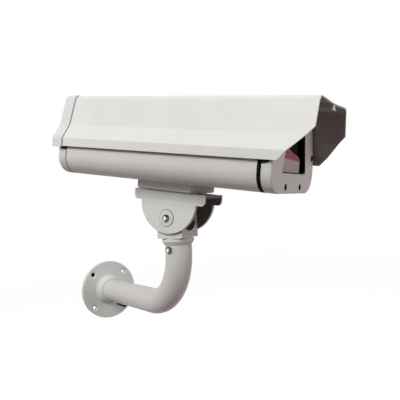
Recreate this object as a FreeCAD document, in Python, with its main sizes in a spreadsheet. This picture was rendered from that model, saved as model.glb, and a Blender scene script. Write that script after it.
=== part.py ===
import FreeCAD, Part
import Sketcher
import math
import os

# Outdoor camera housing with a sunshield on a pipe wall bracket, in millimetres.
# The origin is the centre of the wall flange's back face. +Z is up, the wall is the plane Y = 0, and
# the arm comes out of the wall along -Y. The swivel yoke is built about the tilt axis and turned by the
# pan angle. The head is built about the same point, with its length along +X, and is turned by the pan
# angle and tipped nose down by the tilt angle.

SIZES = {
    # pose in which the bracket is set, in degrees
    "pan_angle": 24.0,
    "tilt_angle": 9.2,
    # wall flange
    "flange_dia": 102.0,
    "flange_thick": 5.5,
    "flange_edge": 1.2,
    "bolt_circle": 83.5,
    "bolt_start": 45.0,
    "bolt_hole": 6.5,
    "bolt_sink": 2.2,
    "hub_base_dia": 50.0,
    "hub_end_dia": 42.0,
    "hub_length": 13.2,
    "hub_fillet": 3.0,
    "slot_length": 20.0,
    "slot_width": 5.0,
    "slot_deep": 4.5,
    "slot_radius": 38.5,
    "slot_place": -55.5,
    "slot_lean": 28.5,
    # pipe arm
    "pipe_dia": 38.0,
    "pipe_wall": 3.0,
    "pipe_seat": 2.0,
    "arm_reach": 249.0,
    "top_straight": 9.5,
    "weld_gap": 0.15,
    # set screws in the top of the pipe
    "set_screw_drop": 6.0,
    "set_screw_place": 195.0,
    "set_screw_dia": 6.0,
    "set_screw_head": 9.0,
    "set_screw_head_high": 4.0,
    "set_screw_socket": 5.0,
    "set_screw_tip_gap": 1.0,
    # swivel yoke
    "pivot_height": 128.6,
    "yoke_length": 41.0,
    "yoke_width": 42.0,
    "yoke_drop": 28.8,
    "wing_thick": 5.0,
    "valley_drop": 19.4,
    "valley_round": 15.0,
    "neck_dia": 40.0,
    "neck_high": 1.5,
    "collar_dia": 45.4,
    "collar_high": 3.3,
    "collar_taper": 4.8,
    "collar_end_dia": 39.4,
    "collar_gap": 0.2,
    "spigot_length": 13.0,
    "spigot_play": 0.1,
    "groove_depth": 2.6,
    "groove_high": 7.0,
    "spigot_bevel": 1.0,
    # tilt bolt
    "pin_dia": 6.0,
    "pin_play": 0.06,
    "hole_play": 0.15,
    "pin_head_dia": 10.0,
    "pin_head_high": 4.0,
    "pin_socket": 4.0,
    "nut_wide": 10.0,
    "nut_high": 5.2,
    "nut_washer_dia": 14.0,
    "nut_washer_high": 1.6,
    "pin_end": 2.5,
    # tilt table
    "table_rear": 59.0,
    "table_front": 57.6,
    "table_low": 21.6,
    "table_high": 36.6,
    "table_width": 48.0,
    "table_roof": 4.0,
    "table_corner": 6.0,
    "ear_radius": 45.0,
    "ear_rise": 1.9,
    "ear_width": 52.0,
    "ear_play": 0.2,
    "boss_dia": 22.4,
    "boss_high": 0.8,
    "seat_high": 1.2,
    "seat_inset": 6.0,
    # foot plate under the body
    "foot_rear": 49.5,
    "foot_front": 39.2,
    "foot_width": 65.0,
    "foot_corner": 1.2,
    "foot_end_round": 3.0,
    # housing body, seen from the front
    "body_low": 49.8,
    "body_half": 72.5,
    "body_low_round": 24.0,
    "shoulder_high": 84.0,
    "shoulder_round": 10.0,
    "body_top": 153.0,
    "body_top_half": 50.0,
    "body_top_round": 8.0,
    "body_wall": 2.5,
    "body_rear": 150.5,
    "body_front": 149.3,
    "front_gasket_thick": 5.3,
    "rear_gasket_thick": 1.5,
    "gasket_width": 2.9,
    # screw ports and tray ribs inside the body
    "rib_place": 25.0,
    "rib_width": 12.0,
    "rib_high": 63.0,
    "low_port_high": 58.0,
    "side_port_inset": 5.5,
    "side_port_high": 97.0,
    "side_port_dia": 10.0,
    "port_bore": 4.2,
    "port_depth": 24.0,
    # end caps
    "front_cap_deep": 13.0,
    "rear_cap_deep": 16.6,
    "cap_wall": 3.2,
    "front_edge": 2.2,
    "rear_edge": 5.0,
    "cap_boss_dia": 10.2,
    "cap_screw_dia": 4.0,
    "cap_screw_head": 7.0,
    "cap_screw_head_high": 4.0,
    "cap_screw_socket": 3.0,
    "cap_screw_sink": 4.6,
    "cap_screw_long": 32.0,
    "head_play": 0.7,
    # window
    "window_low": 74.6,
    "window_high": 136.0,
    "window_half_low": 42.2,
    "window_half_high": 25.0,
    "window_round": 4.0,
    "seal_thick": 2.0,
    "seal_lip": 1.4,
    "seal_inset": 0.6,
    "glass_thick": 4.0,
    "glass_margin": 5.0,
    "retainer_thick": 1.5,
    "retainer_side": 13.0,
    "retainer_end": 7.0,
    "retainer_screw_out": 10.0,
    "retainer_screw_low": 84.0,
    "retainer_screw_high": 126.0,
    "retainer_screw_dia": 3.0,
    "retainer_screw_head": 5.6,
    "retainer_screw_head_high": 1.8,
    "retainer_screw_socket": 2.0,
    "retainer_boss_dia": 7.0,
    # cable entries in the rear cap
    "entry_place": 36.0,
    "entry_high": 71.0,
    "entry_dia": 20.0,
    "entry_boss_dia": 27.0,
    "entry_boss_deep": 5.0,
    "plug_flange_dia": 25.0,
    "plug_flange_high": 3.0,
    "plug_socket": 10.0,
    "plug_length": 9.0,
    "plug_seal_thick": 1.4,
    # sunshield, measured from the housing's own outline
    "shield_rear_over": 3.4,
    "shield_front_over": 41.7,
    "shield_wall": 2.0,
    "shield_top_gap": 10.2,
    "shield_top_side": 5.4,
    "shield_top_round": 9.0,
    "shield_dip": 2.0,
    "shield_flat_half": 8.0,
    "shield_kink_rise": 35.1,
    "shield_kink_side": 4.5,
    "shield_fold_rise": 15.7,
    "shield_side": 5.6,
    "shield_low_rise": 3.9,
    "shield_fold_round": 2.6,
    "cut_rise": 43.6,
    "cut_low_over": 6.4,
    "cut_margin": 20.0,
    "rail_web": 8.0,
    "rail_flange": 14.0,
    "rail_flange_high": 2.4,
    # end cap of the sunshield
    "end_gap": 1.0,
    "end_deep": 18.4,
    "end_wall": 2.4,
    "end_proud": 1.0,
    "end_drop": 1.4,
    "end_boss_dia": 8.0,
    "end_screw_dia": 4.0,
    "end_screw_head": 7.0,
    "end_screw_head_high": 2.4,
    "end_screw_socket": 2.5,
    "end_screw_long": 30.0,
    # screws on top of the sunshield
    "top_screw_rear": -70.0,
    "top_screw_front": 80.0,
    "top_screw_dia": 5.0,
    "top_screw_head": 9.0,
    "top_screw_head_high": 3.2,
    "top_screw_socket": 3.0,
    "top_screw_grip": 5.0,
    "top_washer_dia": 13.0,
    "top_washer_high": 1.2,
    # camera tray
    "tray_rear": 118.0,
    "tray_front": 112.0,
    "tray_half": 42.0,
    "tray_wall": 2.0,
    "tray_rim": 9.0,
    "tray_slot_length": 110.0,
    "tray_slot_width": 7.0,
    "tray_screw_inset": 12.0,
    "tray_screw_dia": 4.0,
    "tray_screw_head": 7.5,
    "tray_screw_head_high": 2.4,
    "tray_screw_socket": 2.5,
    "tray_screw_deep": 8.0,
    "camera_screw_dia": 6.35,
    "camera_screw_head": 12.0,
    "camera_screw_head_high": 4.0,
    "camera_screw_socket": 5.0,
    "camera_screw_up": 7.0,
    # screws of the table and of the foot plate
    "table_screw_out": 32.0,
    "table_screw_side": 12.5,
    "table_screw_dia": 6.0,
    "table_screw_head": 10.0,
    "table_screw_head_high": 5.0,
    "table_screw_socket": 5.0,
    "table_screw_deep": 8.0,
    "foot_screw_rear": -41.0,
    "foot_screw_front": 31.0,
    "foot_screw_dia": 5.0,
    "foot_screw_head": 8.5,
    "foot_screw_head_high": 5.0,
    "foot_screw_socket": 4.0,
    "foot_screw_sink": 5.4,
    "foot_screw_grip": 6.0,
}

doc = FreeCAD.newDocument("camera_housing")
sheet = doc.addObject("Spreadsheet::Sheet", "Sizes")
for row, (name, number) in enumerate(SIZES.items(), start=1):
    sheet.set("A%d" % row, name)
    sheet.set("B%d" % row, str(number))
    sheet.setAlias("B%d" % row, name)
doc.recompute()


class Size:
    """A length or angle that carries its number and the formula that the sheet works it out by."""

    def __init__(self, number, formula):
        self.number = float(number)
        self.formula = formula

    def __add__(self, other):
        other = as_size(other)
        return Size(self.number + other.number, "(%s + %s)" % (self.formula, other.formula))

    def __radd__(self, other):
        return as_size(other) + self

    def __sub__(self, other):
        other = as_size(other)
        return Size(self.number - other.number, "(%s - %s)" % (self.formula, other.formula))

    def __rsub__(self, other):
        return as_size(other) - self

    def __mul__(self, other):
        other = as_size(other)
        return Size(self.number * other.number, "(%s * %s)" % (self.formula, other.formula))

    def __rmul__(self, other):
        return as_size(other) * self

    def __truediv__(self, other):
        other = as_size(other)
        return Size(self.number / other.number, "(%s / %s)" % (self.formula, other.formula))

    def __neg__(self):
        return Size(-self.number, "(0 - %s)" % self.formula)


def as_size(value):
    if isinstance(value, Size):
        return value
    return Size(value, repr(float(value)))


def size(name):
    return Size(SIZES[name], "Sizes." + name)


def cosine(angle):
    return Size(math.cos(math.radians(angle.number)), "cos(%s)" % angle.formula)


def sine(angle):
    return Size(math.sin(math.radians(angle.number)), "sin(%s)" % angle.formula)


def bind(item, prop, value):
    item.setExpression(prop, as_size(value).formula)


def frame_formula(tipped):
    """Placement of what turns with the pan, and with the tilt too if it is tipped."""
    pitch = "Sizes.tilt_angle" if tipped else "0"
    return ("create(<<placement>>; create(<<vector>>; 0; -Sizes.arm_reach; Sizes.pivot_height); "
            "create(<<rotation>>; Sizes.pan_angle - 90; %s; 0))" % pitch)


YOKE_FRAME = frame_formula(False)
HEAD_FRAME = frame_formula(True)
WALL_FRAME = None

parts = []


def finish(item, label, frame):
    """Names a finished sub-part, puts it in its frame and lists it for export."""
    item.Label = label
    if frame is not None:
        item.setExpression("Placement", frame)
    parts.append(item)


def new_body(name):
    return doc.addObject("PartDesign::Body", name)


def sketch_on(body, name, plane, offset=None):
    """Empty sketch on one of the body's own origin planes, moved along its normal by the offset."""
    found = [item for item in body.Origin.OriginFeatures if item.Role == plane][0]
    sketch = body.newObject("Sketcher::SketchObject", name)
    sketch.AttachmentSupport = [(found, "")]
    sketch.MapMode = "FlatFace"
    if offset is not None:
        bind(sketch, "AttachmentOffset.Base.z", offset)
    return sketch


def fix_point(sketch, shape, end, point, axes="XY"):
    """Ties one point of a sketch's line, arc or circle to its place along the axes named."""
    for axis, value in zip("XY", point):
        if axis not in axes:
            continue
        value = as_size(value)
        rule = Sketcher.Constraint("Distance" + axis, -1, 1, shape, end, value.number)
        index = sketch.addConstraint(rule)
        label = "%s%d" % (axis.lower(), index)
        sketch.renameConstraint(index, label)
        sketch.setExpression("Constraints." + label, value.formula)


def fix_radius(sketch, shape, radius):
    radius = as_size(radius)
    index = sketch.addConstraint(Sketcher.Constraint("Radius", shape, radius.number))
    label = "radius%d" % index
    sketch.renameConstraint(index, label)
    sketch.setExpression("Constraints." + label, radius.formula)


def flat(point):
    return FreeCAD.Vector(as_size(point[0]).number, as_size(point[1]).number, 0)


def draw_outline(sketch, points):
    """Closed outline of straight lines through the points."""
    first = sketch.GeometryCount
    count = len(points)
    for index in range(count):
        start = flat(points[index])
        end = flat(points[(index + 1) % count])
        sketch.addGeometry(Part.LineSegment(start, end))
    for index in range(count):
        following = first + (index + 1) % count
        sketch.addConstraint(Sketcher.Constraint("Coincident", first + index, 2, following, 1))
    for index in range(count):
        fix_point(sketch, first + index, 1, points[index])


def draw_circle(sketch, centre, radius):
    normal = FreeCAD.Vector(0, 0, 1)
    shape = sketch.addGeometry(Part.Circle(flat(centre), normal, as_size(radius).number))
    fix_radius(sketch, shape, radius)
    fix_point(sketch, shape, 3, centre)


def draw_box(sketch, low, high):
    corners = [low, (high[0], low[1]), high, (low[0], high[1])]
    draw_outline(sketch, corners)


def pad(body, sketch, length, backwards=False, both_ways=False):
    feature = body.newObject("PartDesign::Pad", sketch.Name + "_pad")
    feature.Profile = sketch
    feature.Reversed = backwards
    feature.Midplane = both_ways
    bind(feature, "Length", length)
    doc.recompute()
    if not feature.isValid():
        raise RuntimeError(feature.Name + " failed: " + feature.getStatusString())
    return feature


def pocket(body, sketch, length=None, backwards=False):
    """Cuts a sketch to a depth, or right through both ways if no depth is given."""
    before = body.Shape.Volume
    feature = body.newObject("PartDesign::Pocket", sketch.Name + "_pocket")
    feature.Profile = sketch
    if length is None:
        feature.Type = "ThroughAll"
        feature.Midplane = True
    else:
        feature.Reversed = backwards
        bind(feature, "Length", length)
    doc.recompute()
    if not feature.isValid() or body.Shape.Volume > before - 0.01:
        raise RuntimeError("nothing was cut by " + feature.Name + ": " + feature.getStatusString())
    return feature


def revolve(body, sketch, axis):
    feature = body.newObject("PartDesign::Revolution", sketch.Name + "_turned")
    feature.Profile = sketch
    feature.ReferenceAxis = (sketch, [axis])
    feature.Angle = 360.0
    doc.recompute()
    return feature


def edge_names(feature, wanted):
    """Names of the edges whose middle point and direction pass the test."""
    names = []
    for index, edge in enumerate(feature.Shape.Edges, start=1):
        middle = edge.valueAt((edge.FirstParameter + edge.LastParameter) / 2.0)
        along = edge.tangentAt((edge.FirstParameter + edge.LastParameter) / 2.0)
        if wanted(edge, middle, along):
            names.append("Edge%d" % index)
    return names


def face_names(feature, wanted):
    names = []
    for index, face in enumerate(feature.Shape.Faces, start=1):
        u_low, u_high, v_low, v_high = face.ParameterRange
        normal = face.normalAt((u_low + u_high) / 2.0, (v_low + v_high) / 2.0)
        if wanted(face, face.CenterOfMass, normal):
            names.append("Face%d" % index)
    return names


def near(value, target, reach=0.05):
    return abs(value - as_size(target).number) < reach


def fillet(body, feature, radius, wanted):
    names = edge_names(feature, wanted)
    if not names:
        raise RuntimeError("no edge to round on " + feature.Name)
    rounding = body.newObject("PartDesign::Fillet", feature.Name + "_round")
    rounding.Base = (feature, names)
    bind(rounding, "Radius", radius)
    doc.recompute()
    if not rounding.isValid():
        raise RuntimeError(rounding.Name + " failed: " + rounding.getStatusString())
    return rounding


def chamfer(body, feature, width, wanted):
    names = edge_names(feature, wanted)
    if not names:
        raise RuntimeError("no edge to bevel on " + feature.Name)
    bevel = body.newObject("PartDesign::Chamfer", feature.Name + "_bevel")
    bevel.Base = (feature, names)
    bind(bevel, "Size", width)
    doc.recompute()
    return bevel


def hollow(body, feature, wall, open_faces):
    """Turns a solid into a shell of even wall, open at the chosen faces."""
    names = face_names(feature, open_faces)
    shell = body.newObject("PartDesign::Thickness", feature.Name + "_shell")
    shell.Base = (feature, names)
    shell.Reversed = True
    shell.Join = "Arc"
    bind(shell, "Value", wall)
    doc.recompute()
    if not shell.isValid():
        raise RuntimeError(shell.Name + " failed: " + shell.getStatusString())
    return shell


def round_circle(edge, radius):
    """True for an edge that is a circle of that radius."""
    return hasattr(edge.Curve, "Radius") and near(edge.Curve.Radius, radius)


def screw_form(name, head_dia, head_high, shank_dia, shank_long, socket, domed=False):
    """Socket screw with its head above z = 0 and its shank below, to be placed by links."""
    body = new_body(name)
    sketch = sketch_on(body, name + "_profile", "XZ_Plane")
    shank = shank_dia / 2
    head = head_dia / 2
    points = [(0, -shank_long), (shank * 0.8, -shank_long), (shank, -shank_long + shank * 0.3),
              (shank, 0), (head, 0)]
    if domed:
        points += [(head, head_high * 0.4), (head * 0.75, head_high), (0, head_high)]
    else:
        points += [(head, head_high * 0.88), (head * 0.9, head_high), (0, head_high)]
    draw_outline(sketch, points)
    revolve(body, sketch, "V_Axis")
    hexagon = sketch_on(body, name + "_socket", "XY_Plane", head_high)
    draw_hexagon(hexagon, socket)
    pocket(body, hexagon, head_high * 0.6)
    return body


def draw_hexagon(sketch, across):
    corner = across / 2 / cosine(as_size(180.0 / HEX_SIDES))
    points = []
    for index in range(HEX_SIDES):
        angle = as_size(360.0 / HEX_SIDES * index)
        points.append((corner * cosine(angle), corner * sine(angle)))
    draw_outline(sketch, points)


TURNS = {
    "up": FreeCAD.Rotation(),
    "down": FreeCAD.Rotation(FreeCAD.Vector(1, 0, 0), 180),
    "front": FreeCAD.Rotation(FreeCAD.Vector(0, 1, 0), 90),
    "rear": FreeCAD.Rotation(FreeCAD.Vector(0, 1, 0), -90),
    "left": FreeCAD.Rotation(FreeCAD.Vector(1, 0, 0), -90),
    "right": FreeCAD.Rotation(FreeCAD.Vector(1, 0, 0), 90),
}


def place_copies(label, form, places, facing, frame):
    """One node of equal solids: a copy of the form at each place, its top facing one way."""
    links = []
    for index, place in enumerate(places):
        link = doc.addObject("App::Link", "%s_%d" % (label, index + 1))
        link.LinkedObject = form
        link.Placement = FreeCAD.Placement(FreeCAD.Vector(), TURNS[facing])
        for axis, value in zip("xyz", place):
            bind(link, "Placement.Base." + axis, value)
        links.append(link)
    group = doc.addObject("Part::Compound", label + "_group")
    group.Links = links
    finish(group, label, frame)
    return group


# Values that several pieces share, worked out from the sheet.
BOLT_COUNT = 4
HEX_SIDES = 6
flange_radius = size("flange_dia") / 2
pipe_radius = size("pipe_dia") / 2
pipe_bore = pipe_radius - size("pipe_wall")
hub_end = size("flange_thick") + size("hub_length")
collar_top = -size("yoke_drop") - size("neck_high")
collar_low = collar_top - size("collar_high") - size("collar_taper")
pipe_top = size("pivot_height") + collar_low - size("collar_gap")
bend_radius = pipe_top - size("top_straight")
set_screw_high = pipe_top - size("set_screw_drop")
foot_low = size("table_high") + size("seat_high")
body_low = size("body_low")
front_gasket_end = size("body_front") + size("front_gasket_thick")
face_front = front_gasket_end + size("front_cap_deep")
rear_gasket_end = size("body_rear") + size("rear_gasket_thick")
face_rear = rear_gasket_end + size("rear_cap_deep")


def slant_half(high):
    """Half the housing's width at a height on its slanted sides."""
    share = (high - size("shoulder_high")) / (size("body_top") - size("shoulder_high"))
    return size("body_half") - (size("body_half") - size("body_top_half")) * share


side_port_place = slant_half(size("side_port_high")) - size("side_port_inset")
port_spots = [
    (side * place, high)
    for place, high in ((size("rib_place"), size("low_port_high")),
                        (side_port_place, size("side_port_high")))
    for side in (1, -1)
]
shield_top = size("body_top") + size("shield_top_gap")
shield_top_half = size("body_top_half") + size("shield_top_side")
shield_kink = size("shoulder_high") + size("shield_kink_rise")
shield_kink_half = slant_half(shield_kink) + size("shield_kink_side")
shield_fold = size("shoulder_high") + size("shield_fold_rise")
shield_half = size("body_half") + size("shield_side")
shield_low = size("shoulder_high") + size("shield_low_rise")
shield_rear = size("body_rear") + size("shield_rear_over")
shield_front = face_front + size("shield_front_over")


def make_wall_flange():
    """Round cast plate with a tapered hub, turned about the pipe's axis."""
    body = new_body("flange_body")
    profile = sketch_on(body, "flange_profile", "XY_Plane")
    bore = pipe_radius + size("weld_gap")
    thick = size("flange_thick")
    draw_outline(profile, [
        (pipe_bore, 0), (flange_radius, 0), (flange_radius, -thick),
        (size("hub_base_dia") / 2, -thick), (size("hub_end_dia") / 2, -hub_end),
        (bore, -hub_end), (bore, -size("pipe_seat")), (pipe_bore, -size("pipe_seat")),
    ])
    turned = revolve(body, profile, "V_Axis")
    turned = fillet(body, turned, size("flange_edge"),
                    lambda edge, middle, along: round_circle(edge, flange_radius)
                    and near(middle.y, -thick))
    turned = fillet(body, turned, size("hub_fillet"),
                    lambda edge, middle, along: round_circle(edge, size("hub_base_dia") / 2))
    turned = fillet(body, turned, size("flange_edge"),
                    lambda edge, middle, along: round_circle(edge, size("hub_end_dia") / 2))
    holes = sketch_on(body, "flange_holes", "XZ_Plane")
    hole_radius = size("bolt_hole") / 2
    spot = size("bolt_circle") / 2
    for index in range(BOLT_COUNT):
        angle = size("bolt_start") + 360.0 / BOLT_COUNT * index
        draw_circle(holes, (spot * cosine(angle), spot * sine(angle)), hole_radius)
    drilled = pocket(body, holes)
    drilled = chamfer(body, drilled, size("bolt_sink"),
                      lambda edge, middle, along: round_circle(edge, hole_radius)
                      and near(middle.y, -thick))
    slot = sketch_on(body, "flange_slot", "XZ_Plane", thick)
    place = size("slot_place")
    middle = (size("slot_radius") * cosine(place), size("slot_radius") * sine(place))
    lean = place + size("slot_lean")
    half_long = size("slot_length") / 2
    half_wide = size("slot_width") / 2
    corners = []
    for along, across in ((-1, -1), (1, -1), (1, 1), (-1, 1)):
        far = half_long * along
        wide = half_wide * across
        corners.append((middle[0] + far * cosine(lean) - wide * sine(lean),
                        middle[1] + far * sine(lean) + wide * cosine(lean)))
    draw_outline(slot, corners)
    cut = pocket(body, slot, size("slot_deep"))
    fillet(body, cut, half_wide * 0.95,
           lambda edge, spot, along: near(edge.Length, size("slot_deep")) and abs(along.y) > 0.99)
    finish(body, "wall_flange", WALL_FRAME)


def make_arm_pipe():
    """Tube that leaves the hub level, bends up through a right angle and ends under the swivel."""
    body = new_body("pipe_body")
    ring = sketch_on(body, "pipe_ring", "XZ_Plane", size("pipe_seat"))
    draw_circle(ring, (0, 0), pipe_radius)
    draw_circle(ring, (0, 0), pipe_bore)
    path = sketch_on(body, "pipe_path", "YZ_Plane")
    straight = size("arm_reach") - bend_radius
    bend = bend_radius
    start = (-size("pipe_seat"), as_size(0))
    bend_start = (-straight, as_size(0))
    centre = (-straight, bend)
    bend_end = (-size("arm_reach"), bend)
    top = (-size("arm_reach"), pipe_top)
    first = path.addGeometry(Part.LineSegment(flat(start), flat(bend_start)))
    curve = Part.ArcOfCircle(Part.Circle(flat(centre), FreeCAD.Vector(0, 0, 1), bend.number),
                             math.pi, 1.5 * math.pi)
    arc = path.addGeometry(curve)
    last = path.addGeometry(Part.LineSegment(flat(bend_end), flat(top)))
    path.addConstraint(Sketcher.Constraint("Horizontal", first))
    path.addConstraint(Sketcher.Constraint("Vertical", last))
    path.addConstraint(Sketcher.Constraint("Tangent", first, 2, arc, 2))
    path.addConstraint(Sketcher.Constraint("Tangent", last, 1, arc, 1))
    fix_point(path, first, 1, start)
    fix_point(path, arc, 3, centre, axes="X")
    fix_point(path, last, 2, top)
    sweep = body.newObject("PartDesign::AdditivePipe", "pipe_sweep")
    sweep.Profile = ring
    sweep.Spine = path
    sweep.Mode = "Standard"
    sweep.Transition = "Transformed"
    doc.recompute()
    drill = body.newObject("PartDesign::SubtractiveCylinder", "pipe_screw_holes")
    bind(drill, "Radius", size("set_screw_dia") / 2 + size("hole_play"))
    bind(drill, "Height", size("pipe_dia") * 2)
    drill.setExpression("Placement", set_screw_formula(-size("pipe_dia")))
    doc.recompute()
    finish(body, "arm_pipe", WALL_FRAME)


def set_screw_formula(out, turn=0):
    """Placement along a set screw's axis, whose local +Z points out of the pipe."""
    place = size("set_screw_place") + turn
    x = out * cosine(place)
    y = out * sine(place) - size("arm_reach")
    return ("create(<<placement>>; create(<<vector>>; %s; %s; %s); create(<<rotation>>; %s; 90; 0))"
            % (x.formula, y.formula, set_screw_high.formula, place.formula))


def make_set_screws():
    """Two screws through the pipe's wall, with their tips in the spigot's groove."""
    groove_radius = pipe_bore - size("spigot_play") - size("groove_depth")
    reach = pipe_radius - groove_radius - size("set_screw_tip_gap")
    form = screw_form("set_screw_form", size("set_screw_head"), size("set_screw_head_high"),
                      size("set_screw_dia"), reach, size("set_screw_socket"))
    links = []
    for turn in (0, 180):
        link = doc.addObject("App::Link", "set_screw_%d" % turn)
        link.LinkedObject = form
        link.setExpression("Placement", set_screw_formula(pipe_radius, turn))
        links.append(link)
    group = doc.addObject("Part::Compound", "set_screw_group")
    group.Links = links
    finish(group, "swivel_set_screws", WALL_FRAME)


def make_swivel_yoke():
    """Casting with two wings about the tilt axis, on a collar and a spigot that turns in the pipe."""
    body = new_body("yoke_body")
    half_long = size("yoke_length") / 2
    side = sketch_on(body, "yoke_side", "XZ_Plane")
    draw_box(side, (-half_long, -size("yoke_drop")), (half_long, as_size(0)))
    block = pad(body, side, size("yoke_width"), both_ways=True)
    crown = sketch_on(body, "yoke_crown", "XZ_Plane")
    draw_circle(crown, (0, 0), half_long)
    block = pad(body, crown, size("yoke_width"), both_ways=True)
    valley = sketch_on(body, "yoke_valley", "YZ_Plane")
    inner = size("yoke_width") / 2 - size("wing_thick")
    draw_box(valley, (-inner, -size("valley_drop")), (inner, half_long * 2))
    cut = pocket(body, valley)
    cut = fillet(body, cut, size("valley_round"),
                 lambda edge, middle, along: abs(along.x) > 0.99
                 and near(middle.z, -size("valley_drop")) and near(abs(middle.y), inner))
    stem = sketch_on(body, "yoke_stem", "XZ_Plane")
    spigot = pipe_bore - size("spigot_play")
    groove = spigot - size("groove_depth")
    collar = size("collar_dia") / 2
    neck = size("neck_dia") / 2
    groove_high = set_screw_high - size("pivot_height")
    half_groove = size("groove_high") / 2
    spigot_low = collar_low - size("spigot_length")
    bevel = size("spigot_bevel")
    root = bevel - size("yoke_drop")
    draw_outline(stem, [
        (0, root), (neck, root), (neck, collar_top), (collar, collar_top),
        (collar, collar_top - size("collar_high")), (size("collar_end_dia") / 2, collar_low),
        (spigot, collar_low), (spigot, groove_high + half_groove),
        (groove, groove_high + half_groove - bevel), (groove, groove_high - half_groove + bevel),
        (spigot, groove_high - half_groove), (spigot, spigot_low + bevel),
        (spigot - bevel, spigot_low), (0, spigot_low),
    ])
    revolve(body, stem, "V_Axis")
    bore = sketch_on(body, "yoke_bore", "XZ_Plane")
    draw_circle(bore, (0, 0), size("pin_dia") / 2 + size("pin_play"))
    pocket(body, bore)
    finish(body, "swivel_yoke", YOKE_FRAME)


def make_tilt_table():
    """Channel-shaped casting: a flat roof with side skirts, and an ear on each side."""
    body = new_body("table_body")
    skirt = sketch_on(body, "table_skirt", "XZ_Plane")
    draw_box(skirt, (-size("table_rear"), size("table_low")), (size("table_front"), size("table_high")))
    solid = pad(body, skirt, size("table_width"), both_ways=True)
    solid = fillet(body, solid, size("table_corner"),
                   lambda edge, middle, along: abs(along.y) > 0.99 and near(middle.z, size("table_low")))
    ear = sketch_on(body, "table_ear", "XZ_Plane")
    radius = size("ear_radius")
    centre = (as_size(0), size("table_low") + size("ear_rise"))
    dip = math.asin(size("ear_rise").number / radius.number)
    circle = Part.Circle(flat(centre), FreeCAD.Vector(0, 0, 1), radius.number)
    curve = Part.ArcOfCircle(circle, math.pi + dip, 2 * math.pi - dip)
    arc = ear.addGeometry(curve)
    chord = ear.addGeometry(Part.LineSegment(curve.StartPoint, curve.EndPoint))
    ear.addConstraint(Sketcher.Constraint("Coincident", chord, 1, arc, 1))
    ear.addConstraint(Sketcher.Constraint("Coincident", chord, 2, arc, 2))
    fix_point(ear, chord, 1, (0, size("table_low")), axes="Y")
    fix_point(ear, chord, 2, (0, size("table_low")), axes="Y")
    fix_point(ear, arc, 3, centre)
    fix_radius(ear, arc, radius)
    pad(body, ear, size("ear_width"), both_ways=True)
    bosses = sketch_on(body, "table_bosses", "XZ_Plane")
    draw_circle(bosses, (0, 0), size("boss_dia") / 2)
    pad(body, bosses, size("ear_width") + size("boss_high") * 2, both_ways=True)
    seat = sketch_on(body, "table_seat", "XY_Plane", size("table_high"))
    inset = size("seat_inset")
    half_seat = size("table_width") / 2 - size("seat_inset") / 2
    draw_box(seat, (-size("foot_rear") + inset, -half_seat), (size("foot_front") - inset, half_seat))
    pad(body, seat, size("seat_high"))
    channel = sketch_on(body, "table_channel", "YZ_Plane")
    inner = size("yoke_width") / 2 + size("ear_play")
    roof = size("table_high") - size("table_roof")
    draw_box(channel, (-inner, -size("ear_radius") * 2), (inner, roof))
    pocket(body, channel)
    bore = sketch_on(body, "table_bore", "XZ_Plane")
    draw_circle(bore, (0, 0), size("pin_dia") / 2 + size("hole_play"))
    pocket(body, bore)
    holes = sketch_on(body, "table_holes", "XY_Plane", size("table_high"))
    for x, y in table_screw_spots:
        draw_circle(holes, (x, y), size("table_screw_dia") / 2 + size("hole_play"))
    pocket(body, holes)
    finish(body, "tilt_table", HEAD_FRAME)


table_screw_spots = [
    (along * size("table_screw_out"), side * size("table_screw_side"))
    for along in (-1, 1) for side in (-1, 1)
]
foot_screw_spots = [
    (size(along), side * size("rib_place"))
    for along in ("foot_screw_rear", "foot_screw_front") for side in (-1, 1)
]


def make_tilt_bolt():
    """Socket head bolt along the tilt axis, with a washer and a nut on the far side."""
    half_ear = size("ear_width") / 2 + size("boss_high")
    nut_start = half_ear + size("nut_washer_high")
    length = half_ear + nut_start + size("nut_high") + size("pin_end")
    form = screw_form("tilt_bolt_form", size("pin_head_dia"), size("pin_head_high"),
                      size("pin_dia"), length, size("pin_socket"), domed=True)
    place_copies("tilt_bolt", form, [(0, -half_ear, 0)], "right", HEAD_FRAME)
    washer = new_body("tilt_washer_form")
    ring = sketch_on(washer, "tilt_washer_ring", "XY_Plane")
    hole = size("pin_dia") / 2 + size("hole_play")
    draw_circle(ring, (0, 0), size("nut_washer_dia") / 2)
    draw_circle(ring, (0, 0), hole)
    pad(washer, ring, size("nut_washer_high"))
    place_copies("tilt_washer", washer, [(0, half_ear, 0)], "left", HEAD_FRAME)
    nut = new_body("tilt_nut_form")
    outline = sketch_on(nut, "tilt_nut_outline", "XY_Plane")
    draw_hexagon(outline, size("nut_wide"))
    draw_circle(outline, (0, 0), hole)
    pad(nut, outline, size("nut_high"))
    place_copies("tilt_nut", nut, [(0, nut_start, 0)], "left", HEAD_FRAME)


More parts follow.
